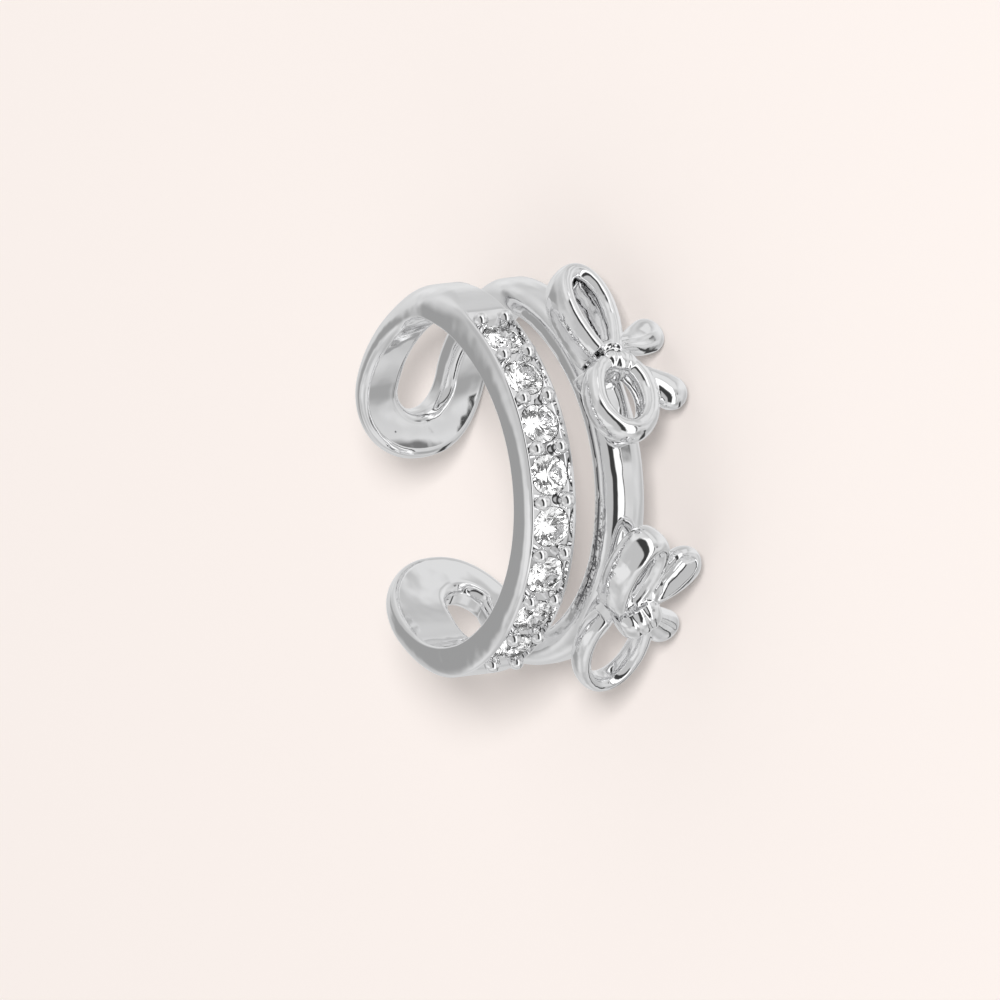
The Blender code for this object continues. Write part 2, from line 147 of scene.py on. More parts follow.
def naturalSpline(x, y, at):
    gaps = np.diff(x)
    slopes = np.diff(y) / gaps
    matrix = np.eye(len(x))
    right = np.zeros(len(x))
    for i in range(1, len(x) - 1):
        matrix[i, i - 1 : i + 2] = gaps[i - 1], 2 * (gaps[i - 1] + gaps[i]), gaps[i]
        right[i] = 6 * (slopes[i] - slopes[i - 1])
    bend = np.linalg.solve(matrix, right)
    i = np.clip(np.searchsorted(x, at) - 1, 0, len(x) - 2)
    gap, left, rest = gaps[i], at - x[i], x[i + 1] - at
    cubic = (bend[i] * rest**3 + bend[i + 1] * left**3) / (6 * gap)
    return cubic + (y[i] / gap - bend[i] * gap / 6) * rest + (y[i + 1] / gap - bend[i + 1] * gap / 6) * left


def layOutC():
    rows = bands["shape"]
    angles = np.radians(np.linspace(rows[0][0], rows[-1][0], bands["pointsOnC"]))
    radii = bands["innerRadius"] * np.array([row[1] for row in rows])
    radius = naturalSpline(np.radians([row[0] for row in rows]), radii, angles)
    points = np.stack([radius * np.cos(angles), radius * np.sin(angles)], 1)
    lengths = np.concatenate([[0], np.cumsum(np.linalg.norm(np.diff(points, axis=0), axis=1))])
    lengths -= np.interp(0, angles, lengths)
    along = np.gradient(points, lengths, axis=0)
    return angles, lengths, points, along / np.linalg.norm(along, axis=1)[:, None]


cAngles, cLengths, cPoints, cAlong = layOutC()


def lengthAt(degrees):
    return float(np.interp(math.radians(degrees), cAngles, cLengths))


def angleAt(length):
    return math.degrees(float(np.interp(length, cLengths, cAngles)))


def bandFrame(length, across=0.0, out=0.0):
    # x along the C, y across it towards the stones, z outwards
    x, y = (float(np.interp(length, cLengths, cPoints[:, i])) for i in (0, 1))
    ahead = (float(np.interp(length, cLengths, cAlong[:, i])) for i in (0, 1))
    along = Vector((*ahead, 0)).normalized()
    outwards = Vector((along.y, -along.x, 0))
    place = Vector((x, y, across)) + out * outwards
    return Matrix.Translation(place) @ Matrix((along, (0, 0, 1), outwards)).transposed().to_4x4()


tipLengths = {True: lengthAt(bands["upperTip"]), False: lengthAt(bands["lowerTip"])}
pitchInside = stoneRow["pitch"] * bands["innerRadius"] / (bands["innerRadius"] + bands["stoneThickness"])
stoneLengths = [lengthAt(stoneRow["firstAngle"]) - i * pitchInside for i in range(stoneRow["count"])]


def backShare(length):
    angle = abs(angleAt(length))
    return smoothStep((angle - bands["frontEndsAt"]) / (bands["backStartsAt"] - bands["frontEndsAt"]))


def rimRounding(length, front):
    rim, angle = bands["upperRim" if length > 0 else "lowerRim"], abs(angleAt(length))
    for shape, (start, end) in ((rim["deep"], rim["deepens"]), (rim["soft"], rim["softens"])):
        front = mixed(front, shape, smoothStep((angle - start) / (end - start)))
    return front


def bandEdges(length):
    # the two edges of the stone band, then those of the bow band
    back = backShare(length)
    end = bands["upperEnd" if length > 0 else "lowerEnd"]
    rim = bands["gap"] / 2 + bands["stoneWidth"] - back * end["inset"]
    stone = bands["stoneWidth"] + back * (end["stoneStrip"] - bands["stoneWidth"])
    gap = bands["gap"] + back * (end["gap"] - bands["gap"])
    bow = bands["bowWidth"] + back * (end["bowStrip"] - bands["bowWidth"])
    return rim, rim - stone, rim - stone - gap, rim - stone - gap - bow


rowAcross = bandEdges(0)[0] - stoneRow["fromEdge"]
girdleOut = bands["stoneThickness"] - stoneRow["channelDepth"] - stoneRow["clearance"] / 2


def rimAt(length, side):
    # the outer rim closes in to a round tip at each end
    near, _, _, far = bandEdges(length)
    past = 1 - abs(tipLengths[length > 0] - length) / bands["tipLength"]
    past = min(max(past, 0.0), 1.0)
    share = (1 - past ** bands["tipSquareness"]) ** (1 / bands["tipSquareness"])
    return (near + far) / 2 + side * (near - far) / 2 * share


def slotEnd(upper):
    sign = 1 if upper else -1
    _, near, far, _ = bandEdges(tipLengths[upper])
    radius = (near - far) / 2
    return tipLengths[upper] - sign * (bands["tipWeb"] + radius), (near + far) / 2, radius


def raysRoundEnd(upper, count):
    sign = 1 if upper else -1
    length, across, radius = slotEnd(upper)
    found = []
    for i in range(1, count):
        turn = math.pi * (0.5 - i / count)
        ahead, aside = sign * math.cos(turn), math.sin(turn)
        short, long = radius, 4 * bands["stoneWidth"]
        for _ in range(bands["halvings"]):
            reach = (short + long) / 2
            at, over = length + reach * ahead, across + reach * aside
            side = 1 if over > rimAt(at, 0) else -1
            outside = sign * (at - tipLengths[upper]) > 0 or side * (over - rimAt(at, side)) > 0
            short, long = (short, reach) if outside else (reach, long)
        slot = (length + radius * ahead, across + radius * aside)
        found.append((slot, (length + short * ahead, across + short * aside)))
    return found


def quarter(x, y, across, up, start):
    steps = bands["stepsRoundCorner"]
    turns = (math.radians(start + 90 * i / steps) for i in range(steps + 1))
    return [(x + across * math.cos(turn), y + up * math.sin(turn)) for turn in turns]


def spread(first, last, steps):
    # points between two corners, closer together near both, which keeps the flats flat
    shares = ((1 - math.cos(math.pi * i / steps)) / 2 for i in range(1, steps))
    return [mixed(first, last, share) for share in shares]


def bandProfile(width, thickness, slotRound, rimRound, bottom, slotFoot, channel, groove):
    # x from the slot to the rim, y outwards, walked anticlockwise
    half, wall = width / 2, stoneRow["channelWall"] / 2
    reach = seam["width"] / 2
    middle = max(seam["height"], slotFoot[1] + reach + seam["overFoot"])
    slotX, slotY = slotRound
    rimX, rimY = rimRound
    floorFrom, floorTo, depth = channel
    runs = [
        quarter(half - bottom, bottom, bottom, bottom, -90),
        quarter(half - rimX, thickness - rimY, rimX, rimY, 0),
        [(floorTo + wall, thickness)],
        [(floorTo - wall, thickness - depth)],
        [(floorFrom + wall, thickness - depth)],
        [(floorFrom - wall, thickness)],
        quarter(slotX - half, thickness - slotY, slotX, slotY, 90),
        [(-half, middle + reach)],
        [(groove - half, middle)],
        [(-half, middle - reach)],
        quarter(slotFoot[0] - half, slotFoot[1], *slotFoot, 180),
    ]
    steps = bands["stepsAfterRuns"]
    points = []
    for i, run in enumerate(runs):
        points += run + spread(run[-1], runs[(i + 1) % len(runs)][0], steps[i])
    return points


seamDice = random.Random(seam["seed"])


def seamDepth(angle):
    fade = seam["fadesOver"]
    ends = smoothStep((angle - seam["from"]) / fade) * smoothStep((seam["to"] - angle) / fade)
    return ends * seam["depth"] * seamDice.uniform(*seam["unevenness"])


def bandSection(slot, rim, band, turned=0.0):
    length = (slot[0] + rim[0]) / 2
    width = math.dist(slot, rim)
    back = backShare(length)
    soft = (bands["softEdge"], bands["softEdge"])
    if band == "stone":
        front = ((bands["lipEdge"], bands["lipEdge"]), (bands["shoulderAcross"], bands["shoulderDepth"]))
        thickness = bands["stoneThickness"]
    else:
        front = 2 * ((bands["crownAcross"], bands["crownDepth"]),)
        thickness = bands["bowThickness"]
    slotRound, rimRound = mixed(front[0], soft, back), mixed(front[1], soft, back)
    bottom = bands["sharpEdge"] + back * (bands["rimTipFoot"] - bands["sharpEdge"])
    slotFoot, groove = (bands["sharpEdge"], bands["sharpEdge"]), 0.0
    if band == "stone":
        rimRound = rimRounding(length, front[1])
    elif turned:
        # round the end the stone band's soft rim passes into the bow band's
        rimRound = mixed(rimRounding(length, soft), rimRound, smoothStep(turned))
    else:
        slotFoot, groove = bands["slotFoot"], seamDepth(angleAt(length))
    slotFoot = mixed(slotFoot, (bands["slotTipFoot"], bands["slotTipFoot"]), back)
    thickness += back * (bands["endThickness"] - thickness)
    flat = width - slotRound[0] - rimRound[0]
    middle = (slotRound[0] - rimRound[0]) / 2
    channel = (middle - flat / 4, middle + flat / 4, 0.0)
    if band == "stone":
        row = width / 2 - stoneRow["fromEdge"]
        reach = stoneRow["diameter"] / 2 + stoneRow["clearance"]
        past = max(length - stoneLengths[0], stoneLengths[-1] - length) / pitchInside
        fades = stoneRow["channelEndsAt"] - stoneRow["channelFullTo"]
        depth = stoneRow["channelDepth"] * (1 - smoothStep((past - stoneRow["channelFullTo"]) / fades))
        channel = mixed((row - reach, row + reach, depth), channel, back)
        outermost = width / 2 - rimRound[0] - stoneRow["channelWall"]
        channel = (min(channel[0], outermost - reach), min(channel[1], outermost), channel[2])
    points = []
    for x, y in bandProfile(width, thickness, slotRound, rimRound, bottom, slotFoot, channel, groove):
        if y < 1e-6:
            y += back * bands["dish"] * (1 - (2 * x / (width - 2 * bottom)) ** 2)
        at, over = mixed(slot, rim, x / width + 0.5)
        points.append(bandFrame(at, over, y).translation)
    return points


def meshPiece(name, points, faces):
    mesh = bpy.data.meshes.new(name)
    mesh.from_pydata([tuple(p) for p in points], [], faces)
    mesh.validate()
    piece = bpy.data.objects.new(name, mesh)
    bpy.context.collection.objects.link(piece)
    work = bmesh.new()
    work.from_mesh(mesh)
    bmesh.ops.recalc_face_normals(work, faces=work.faces)
    work.to_mesh(mesh)
    work.free()
    return piece


def skinned(name, rings, closed=False):
    # one surface over rings of points; an open one gets a fan at both ends
    sides = len(rings[0])
    points = [point for ring in rings for point in ring]
    faces = []
    for i in range(len(rings) - (0 if closed else 1)):
        here, there = i * sides, (i + 1) % len(rings) * sides
        for j in range(sides):
            k = (j + 1) % sides
            faces.append((here + j, here + k, there + k, there + j))
    if not closed:
        for start in (0, len(points) - sides):
            middle = sum((Vector(points[start + j]) for j in range(sides)), Vector()) / sides
            points.append(middle)
            hub = len(points) - 1
            faces += [(start + j, start + (j + 1) % sides, hub) for j in range(sides)]
    return meshPiece(name, points, faces)


def joined(name, pieces):
    work = bmesh.new()
    for piece in pieces:
        work.from_mesh(piece.data)
    mesh = bpy.data.meshes.new(name)
    work.to_mesh(mesh)
    work.free()
    for piece in pieces:
        bpy.data.objects.remove(piece)
    whole = bpy.data.objects.new(name, mesh)
    bpy.context.collection.objects.link(whole)
    return whole


def applied(piece):
    # what the modifiers make of a piece becomes its mesh
    graph = bpy.context.evaluated_depsgraph_get()
    mesh = bpy.data.meshes.new_from_object(piece.evaluated_get(graph))
    piece.modifiers.clear()
    piece.data = mesh
    return piece


def largestShell(piece):
    # drops the crumbs that a remesh may leave inside
    work = bmesh.new()
    work.from_mesh(piece.data)
    left, shells = set(work.verts), []
    while left:
        shell = [left.pop()]
        for vert in shell:
            for edge in vert.link_edges:
                other = edge.other_vert(vert)
                if other in left:
                    left.remove(other)
                    shell.append(other)
        shells.append(shell)
    shells.sort(key=len)
    crumbs = [vert for shell in shells[:-1] for vert in shell]
    bmesh.ops.delete(work, geom=crumbs, context="VERTS")
    work.to_mesh(piece.data)
    work.free()
    return piece


def layDown():
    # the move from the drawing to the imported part, found from the middles of its stones
    heights = {
        stoneRow["girdle"] + stoneRow["crown"]: stoneRow["cadSides"],
        stoneRow["girdle"]: stoneRow["cadSides"],
        0.0: stoneRow["cadSides"],
        -stoneRow["pavilion"]: 1,
    }
    middle = sum(h * n for h, n in heights.items()) / sum(heights.values()) * stoneRow["diameter"]
    drawn, packed = [], []
    for i, length in enumerate(stoneLengths):
        drawn.append(bandFrame(length, rowAcross, girdleOut) @ Vector((0, 0, middle)))
        corners = [v.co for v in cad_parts[f"stone_{i + 1}"].data.vertices]
        packed.append(np.unique(np.round(np.array(corners) * 1000, 4), axis=0).mean(axis=0))
    drawn, packed = np.array(drawn), np.array(packed)
    fromMiddle, toMiddle = drawn.mean(axis=0), packed.mean(axis=0)
    left, _, right = np.linalg.svd((drawn - fromMiddle).T @ (packed - toMiddle))
    flip = np.diag([1, 1, np.sign(np.linalg.det(right.T @ left.T))])
    turn = right.T @ flip @ left.T
    miss = np.abs((drawn - fromMiddle) @ turn.T + toMiddle - packed).max()
    print(f"cuff laid down on the packed stones, within {miss:.4f} mm")
    return Matrix.Translation(Vector(toMiddle) - Matrix(turn) @ Vector(fromMiddle)) @ Matrix(turn).to_4x4()


restTurn = layDown()
toRest = Matrix.Scale(0.001, 4) @ restTurn


def settle(piece, material, smooth=True):
    piece.data.transform(toRest)
    piece.data.materials.clear()
    piece.data.materials.append(material)
    if smooth:
        piece.data.shade_smooth()
    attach(piece, "root")
    return piece


# Camera: the photograph's view of the upright cuff, with a long lens
view = {
    "turn": 31.5,
    "rise": 10.97,
    "pixelsPerMm": 32.4,
    "axisPixel": (418.6, 482.6),
    "axisAcross": 2.335,
    "distance": 420.0,
    "sensor": 36.0,
    "picture": 1000,
    "clipFrom": 0.01,
}


def setCamera():
    turn, rise = math.radians(view["turn"]), math.radians(view["rise"])
    back = Vector((math.cos(rise) * math.cos(turn), math.sin(rise), math.cos(rise) * math.sin(turn)))
    right = Vector((math.sin(turn), 0, -math.cos(turn)))
    up = back.cross(right)
    x, y = view["axisPixel"]
    middle = view["picture"] / 2
    aim = Vector((0, 0, view["axisAcross"]))
    aim += right * (middle - x) / view["pixelsPerMm"] + up * (y - middle) / view["pixelsPerMm"]
    place = (restTurn @ (aim + back * view["distance"])) * 0.001
    turned = restTurn.to_3x3() @ Matrix((right, up, back)).transposed()
    lens = bpy.data.cameras.new("camera")
    lens.sensor_width = view["sensor"]
    lens.lens = view["sensor"] * view["distance"] / (view["picture"] / view["pixelsPerMm"])
    lens.clip_start = view["clipFrom"]
    camera = bpy.data.objects.new("camera", lens)
    bpy.context.collection.objects.link(camera)
    camera.matrix_world = Matrix.Translation(place) @ turned.to_4x4()
    bpy.context.scene.camera = camera


setCamera()
print("camera set")


# Materials
def shaderOf(name, colour, roughness, metallic):
    material = bpy.data.materials.new(name)
    material.use_nodes = True
    shader = material.node_tree.nodes["Principled BSDF"]
    shader.inputs["Base Color"].default_value = (*colour, 1)
    shader.inputs["Roughness"].default_value = roughness
    shader.inputs["Metallic"].default_value = metallic
    return material, shader


def wired(tree, kind, settings=None, **inputs):
    # one node, its settings, and what goes into its inputs by name or number
    node = tree.nodes.new(kind)
    for key, value in (settings or {}).items():
        setattr(node, key, value)
    for key, value in inputs.items():
        socket = node.inputs[int(key[1:]) if key[0] == "_" else key.replace("_", " ")]
        if isinstance(value, bpy.types.NodeSocket):
            tree.links.new(value, socket)
        else:
            socket.default_value = value
    return node


def handPolishGroup():
    # soft swells and hairlines that a polished casting keeps; out come a roughness and a normal
    group = bpy.data.node_groups.new("handPolish", "ShaderNodeTree")
    sockets = group.interface
    for name, value in (("Swell Size", 700.0), ("Swell Height", 0.3), ("Hairline Size", 9000.0),
                        ("Hairline Height", 0.02), ("Smoothest", 0.03), ("Roughest", 0.09)):
        sockets.new_socket(name, in_out="INPUT", socket_type="NodeSocketFloat").default_value = value
    sockets.new_socket("Roughness", in_out="OUTPUT", socket_type="NodeSocketFloat")
    sockets.new_socket("Normal", in_out="OUTPUT", socket_type="NodeSocketVector")
    given = group.nodes.new("NodeGroupInput").outputs
    result = group.nodes.new("NodeGroupOutput")
    place = group.nodes.new("ShaderNodeTexCoord").outputs["Object"]
    swell = wired(group, "ShaderNodeTexNoise", Vector=place, Scale=given["Swell Size"], Detail=2.0)
    hair = wired(group, "ShaderNodeTexNoise", Vector=place, Scale=given["Hairline Size"], Detail=5.0,
                 Roughness=0.7)
    first = wired(group, "ShaderNodeBump", Height=swell.outputs["Fac"], Strength=given["Swell Height"],
                  Distance=0.0001)
    second = wired(group, "ShaderNodeBump", Height=hair.outputs["Fac"], Strength=given["Hairline Height"],
                   Distance=0.00002, Normal=first.outputs["Normal"])
    worn = wired(group, "ShaderNodeMapRange", Value=hair.outputs["Fac"], From_Min=0.35, From_Max=0.7,
                 To_Min=given["Smoothest"], To_Max=given["Roughest"])
    group.links.new(worn.outputs["Result"], result.inputs["Roughness"])
    group.links.new(second.outputs["Normal"], result.inputs["Normal"])
    return group


handPolish = handPolishGroup()


def polished(name, colour, **values):
    material, shader = shaderOf(name, colour, 0.06, 1.0)
    node = material.node_tree.nodes.new("ShaderNodeGroup")
    node.node_tree = handPolish
    for key, value in values.items():
        node.inputs[key.replace("_", " ")].default_value = value
    material.node_tree.links.new(node.outputs["Roughness"], shader.inputs["Roughness"])
    material.node_tree.links.new(node.outputs["Normal"], shader.inputs["Normal"])
    return material


stoneLook = {
    "colour": (1, 1, 1),
    "roughness": 0.07,
    "ior": 1.95,
}


def clearStone():
    material, shader = shaderOf("clearStone", stoneLook["colour"], stoneLook["roughness"], 0.0)
    shader.inputs["IOR"].default_value = stoneLook["ior"]
    shader.inputs["Transmission Weight"].default_value = 1.0
    return material


# Each pair of reaches says where a mark starts to show and where it is full
seamLook = {
    "wanderSize": 1600.0,
    "wander": 0.04,
    "grooveReach": (0.045, 0.015),
    "gritSize": 7500.0,
    "gritSpeck": (0.48, 0.56),
    "gritReach": (0.28, 0.10),
    "pitSize": 420.0,
    "pitReach": (0.020, 0.008),
    "sunk": 0.00006,
    # the dark grey of the painted shade in the groove, grit and pits
    "colour": (0.20, 0.20, 0.21, 1.0),
    "roughness": 0.35,
}


def addSeam(material):
    # the seam is a fine groove, its grit is pits, and a few lone pits lie anywhere on the band; all are sunk
    # by a bump and given painted shade, a dark grey
    tree = material.node_tree
    shader, polish = tree.nodes["Principled BSDF"], tree.nodes["Group"]
    place = tree.nodes.new("ShaderNodeTexCoord").outputs["Object"]
    marks = {name: wired(tree, "ShaderNodeAttribute", {"attribute_name": name}).outputs["Fac"]
             for name in ("height", "seamed", "gritty")}

    def times(first, second):
        return wired(tree, "ShaderNodeMath", {"operation": "MULTIPLY"}, _0=first, _1=second).outputs[0]

    def window(value, reach):
        return wired(tree, "ShaderNodeMapRange", {"interpolation_type": "SMOOTHSTEP"}, Value=value,
                     From_Min=reach[0], From_Max=reach[1]).outputs["Result"]

    look = seamLook
    lowest, highest = seam["height"] - look["wander"], seam["height"] + look["wander"]
    wander = wired(tree, "ShaderNodeTexNoise", Vector=place, Scale=look["wanderSize"], Detail=1.0)
    middle = wired(tree, "ShaderNodeMapRange", Value=wander.outputs["Fac"], From_Min=0.3, From_Max=0.7,
                   To_Min=lowest, To_Max=highest).outputs["Result"]
    off = wired(tree, "ShaderNodeMath", {"operation": "SUBTRACT"}, _0=marks["height"], _1=middle).outputs[0]
    off = wired(tree, "ShaderNodeMath", {"operation": "ABSOLUTE"}, _0=off).outputs[0]
    groove = times(window(off, look["grooveReach"]), marks["seamed"])
    speck = wired(tree, "ShaderNodeTexNoise", Vector=place, Scale=look["gritSize"], Detail=2.0).outputs["Fac"]
    grit = times(times(window(speck, look["gritSpeck"]), window(off, look["gritReach"])), marks["gritty"])
    pits = wired(tree, "ShaderNodeTexVoronoi", Vector=place, Scale=look["pitSize"]).outputs["Distance"]
    lone = window(pits, look["pitReach"])
    both = wired(tree, "ShaderNodeMath", {"operation": "MAXIMUM"}, _0=groove, _1=grit).outputs[0]
    dentShade = wired(tree, "ShaderNodeMath", {"operation": "MAXIMUM"}, _0=both, _1=lone).outputs[0]
    sunk = wired(tree, "ShaderNodeBump", {"invert": True}, Height=dentShade, Strength=1.0, Distance=look["sunk"],
                 Normal=polish.outputs["Normal"])
    tree.links.new(sunk.outputs["Normal"], shader.inputs["Normal"])
    silver = shader.inputs["Base Color"].default_value[:]
    # painted shade: the dents turn dark grey
    tone = wired(tree, "ShaderNodeMix", {"data_type": "RGBA"}, _0=dentShade, _6=silver, _7=look["colour"])
    tree.links.new(tone.outputs[2], shader.inputs["Base Color"])
    dull = wired(tree, "ShaderNodeMix", {"data_type": "FLOAT"}, _0=dentShade, _2=polish.outputs["Roughness"],
                 _3=look["roughness"])
    tree.links.new(dull.outputs[0], shader.inputs["Roughness"])


bandSilver = polished("bandSilver", (0.90, 0.90, 0.905), Swell_Size=650.0, Swell_Height=0.65)
bowSilver = polished("bowSilver", (0.92, 0.92, 0.925), Swell_Size=1100.0, Swell_Height=0.6)
beadSilver = polished("beadSilver", (0.92, 0.92, 0.925), Swell_Size=1500.0, Swell_Height=0.2)
clear = clearStone()


# The two bands with their channel and the stones' seats
def makeBands():
    upper, lower = slotEnd(True)[0], slotEnd(False)[0]
    steps = bands["sectionsAlong"]
    lengths = [lower + (upper - lower) * i / steps for i in range(steps + 1)]
    rings = []
    for length in lengths:
        rings.append(bandSection((length, bandEdges(length)[1]), (length, rimAt(length, 1)), "stone"))
    count = bands["sectionsRoundEnd"]
    for i, (slot, rim) in enumerate(raysRoundEnd(True, count)):
        rings.append(bandSection(slot, rim, "bow", (i + 1) / count))
    for length in reversed(lengths):
        slot = bandEdges(length)[2] + bands["slotBulge"] * (1 - backShare(length))
        rings.append(bandSection((length, slot), (length, rimAt(length, -1)), "bow"))
    for i, (slot, rim) in reversed(list(enumerate(raysRoundEnd(False, count)))):
        rings.append(bandSection(slot, rim, "bow", (i + 1) / count))
    return skinned("cuff_bands", rings, closed=True)


def markSeam(piece):
    # each point's height over the inner surface, and how much seam and grit it may carry
    count = len(piece.data.vertices)
    spots = np.zeros(count * 3)
    piece.data.vertices.foreach_get("co", spots)
    x, y, z = spots.reshape(-1, 3).T
    angle = np.arctan2(y, x)
    height = np.hypot(x, y) - np.interp(angle, cAngles, np.hypot(*cPoints.T))
    degrees = np.degrees(angle)
    slotEdge = bandEdges(0)[2]
    fade = seam["marksFadeOver"]
    seamed = (np.abs(z - slotEdge) < seam["marksReach"]) * np.clip((degrees - seam["from"]) / fade, 0, 1)
    seamed *= np.clip((seam["to"] - degrees) / fade, 0, 1)
    gritty = seamed * np.clip((seam["grittyBelow"] - degrees) / seam["gritFadesOver"], 0, 1)
    for name, values in (("height", height), ("seamed", seamed), ("gritty", gritty)):
        marks = piece.data.attributes.new(name, "FLOAT", "POINT")
        marks.data.foreach_set("value", values.astype(np.float32))


def seatRings(place):
    diameter, spare = stoneRow["diameter"], stoneRow["clearance"]
    radius = diameter / 2 + spare * stoneRow["seatPlay"]
    foot = -diameter * stoneRow["pavilion"] - spare
    sides = stoneRow["seatSides"]
    rings = []
    for height, share in ((diameter * stoneRow["seatTop"], 1.0), (0.0, 1.0), (foot, stoneRow["seatFoot"])):
        ring = []
        for j in range(sides):
            turn = 2 * math.pi * j / sides
            x, y = share * radius * math.cos(turn), share * radius * math.sin(turn)
            ring.append(place @ Vector((x, y, height)))
        rings.append(ring)
    return rings


cuffBands = makeBands()
stonePlaces = [bandFrame(length, rowAcross, girdleOut) for length in stoneLengths]
seats = joined("seats", [skinned(f"seat{i}", seatRings(place)) for i, place in enumerate(stonePlaces)])
cut = cuffBands.modifiers.new("seats", "BOOLEAN")
cut.operation = "DIFFERENCE"
cut.object = seats
applied(cuffBands)
bpy.data.objects.remove(seats)
markSeam(cuffBands)
print(f"bands made, {len(cuffBands.data.polygons)} faces")


# Round brilliants: a table, stars, kites and halves above the girdle, mains and halves below it
def brilliant(name, place, turn):
    radius = stoneRow["diameter"] / 2
    crown = stoneRow["crown"] * stoneRow["diameter"]
    girdle = stoneRow["girdle"] * stoneRow["diameter"]
    depth = stoneRow["pavilion"] * stoneRow["diameter"]
    step = math.pi / 8
    starTip, lowerTip = stoneRow["starTip"], stoneRow["lowerTip"]
    starHeight = girdle + crown * (1 - starTip * math.cos(step)) / (1 - stoneRow["table"])
    lowerHeight = -depth * (1 - lowerTip * math.cos(step))

    def ring(count, share, height, first):
        found = []
        for k in range(count):
            a = first + 2 * math.pi * k / count + turn
            found.append(place @ Vector((share * radius * math.cos(a), share * radius * math.sin(a), height)))
        return found

    points = ring(8, stoneRow["table"], girdle + crown, 0) + ring(8, starTip, starHeight, step)
    points += ring(16, 1, girdle, 0) + ring(16, 1, 0, 0) + ring(8, lowerTip, lowerHeight, step)
    points.append(place @ Vector((0, 0, -depth)))
    faces = [tuple(range(8))]
    for k in range(8):
        k1, k0 = (k + 1) % 8, (k - 1) % 8
        star, before = 8 + k, 8 + k0
        top, low, lowerHalf = 16 + 2 * k, 32 + 2 * k, 48 + k
        topNext, lowNext = 16 + 2 * k1, 32 + 2 * k1
        faces += [(k, star, k1), (k, before, top, star), (star, top, top + 1), (star, top + 1, topNext)]
        faces += [(top, low, low + 1, top + 1), (top + 1, low + 1, lowNext, topNext)]
        faces += [(low, lowerHalf, low + 1), (low + 1, lowerHalf, lowNext), (low, 48 + k0, 56, lowerHalf)]
    return meshPiece(name, points, faces)


chance = random.Random(stoneRow["seed"])
for i, place in enumerate(stonePlaces):
    lean = Matrix.Rotation(math.radians(chance.uniform(-stoneRow["lean"], stoneRow["lean"])), 4, "X")
    stone = brilliant(f"cut_stone_{i + 1}", place @ lean, chance.uniform(0, math.pi / 4))
    settle(stone, clear, smooth=False)
    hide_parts(f"stone_{i + 1}")
print("stones cut")


# Beads: pegs with round heads, raised in pairs between the stones
beads = {
    "radius": 0.27,
    "rise": 0.22,
    "inwards": 0.20,
    "sunkBy": 0.6,
    "peg": 1.9,
    "sizeSpread": 0.10,
    "seed": 4,
    "segments": 28,
    "rings": 18,
}


def beadTree():
    tree = bpy.data.node_groups.new("beadProngs", "GeometryNodeTree")
    sockets = tree.interface
    sockets.new_socket("Geometry", in_out="INPUT", socket_type="NodeSocketGeometry")
    for name in ("Radius", "Peg Length", "Size Spread"):
        sockets.new_socket(name, in_out="INPUT", socket_type="NodeSocketFloat")
    sockets.new_socket("Seed", in_out="INPUT", socket_type="NodeSocketInt")
    sockets.new_socket("Material", in_out="INPUT", socket_type="NodeSocketMaterial")
    sockets.new_socket("Geometry", in_out="OUTPUT", socket_type="NodeSocketGeometry")
    given = tree.nodes.new("NodeGroupInput").outputs
    ball = wired(tree, "GeometryNodeMeshUVSphere", Segments=beads["segments"], Rings=beads["rings"],
                 Radius=given["Radius"])
    spot = wired(tree, "ShaderNodeSeparateXYZ", Vector=tree.nodes.new("GeometryNodeInputPosition").outputs[0])
    below = wired(tree, "ShaderNodeMath", {"operation": "MINIMUM"}, _0=spot.outputs["Z"], _1=0.0)
    drawn = wired(tree, "ShaderNodeMath", {"operation": "MULTIPLY"}, _0=below.outputs[0],
                  _1=given["Peg Length"])
    shift = wired(tree, "ShaderNodeCombineXYZ", Z=drawn.outputs[0])
    peg = wired(tree, "GeometryNodeSetPosition", Geometry=ball.outputs["Mesh"], Offset=shift.outputs[0])
    outwards = wired(tree, "GeometryNodeInputNamedAttribute", {"data_type": "FLOAT_VECTOR"}, Name="outwards")
    turned = wired(tree, "FunctionNodeAlignRotationToVector", {"axis": "Z"},
                   Vector=outwards.outputs["Attribute"])
    smallest = wired(tree, "ShaderNodeMath", {"operation": "SUBTRACT"}, _0=1.0, _1=given["Size Spread"])
    size = wired(tree, "FunctionNodeRandomValue", {"data_type": "FLOAT"}, Seed=given["Seed"])
    tree.links.new(smallest.outputs[0], size.inputs[2])
    size.inputs[3].default_value = 1.0
    placed = wired(tree, "GeometryNodeInstanceOnPoints", Points=given["Geometry"], Instance=peg.outputs[0],
                   Rotation=turned.outputs[0], Scale=size.outputs[1])
    real = wired(tree, "GeometryNodeRealizeInstances", Geometry=placed.outputs[0])
    named = wired(tree, "GeometryNodeSetMaterial", Geometry=real.outputs[0], Material=given["Material"])
    tree.links.new(named.outputs[0], tree.nodes.new("NodeGroupOutput").inputs[0])
    return tree


def grown(piece, tree, values):
    # runs a Geometry Nodes tree on a guide and keeps its result as a plain mesh
    modifier = piece.modifiers.new(tree.name, "NODES")
    modifier.node_group = tree
    for item in tree.interface.items_tree:
        if item.in_out == "INPUT" and item.name in values:
            modifier[item.identifier] = values[item.name]
    return applied(piece)


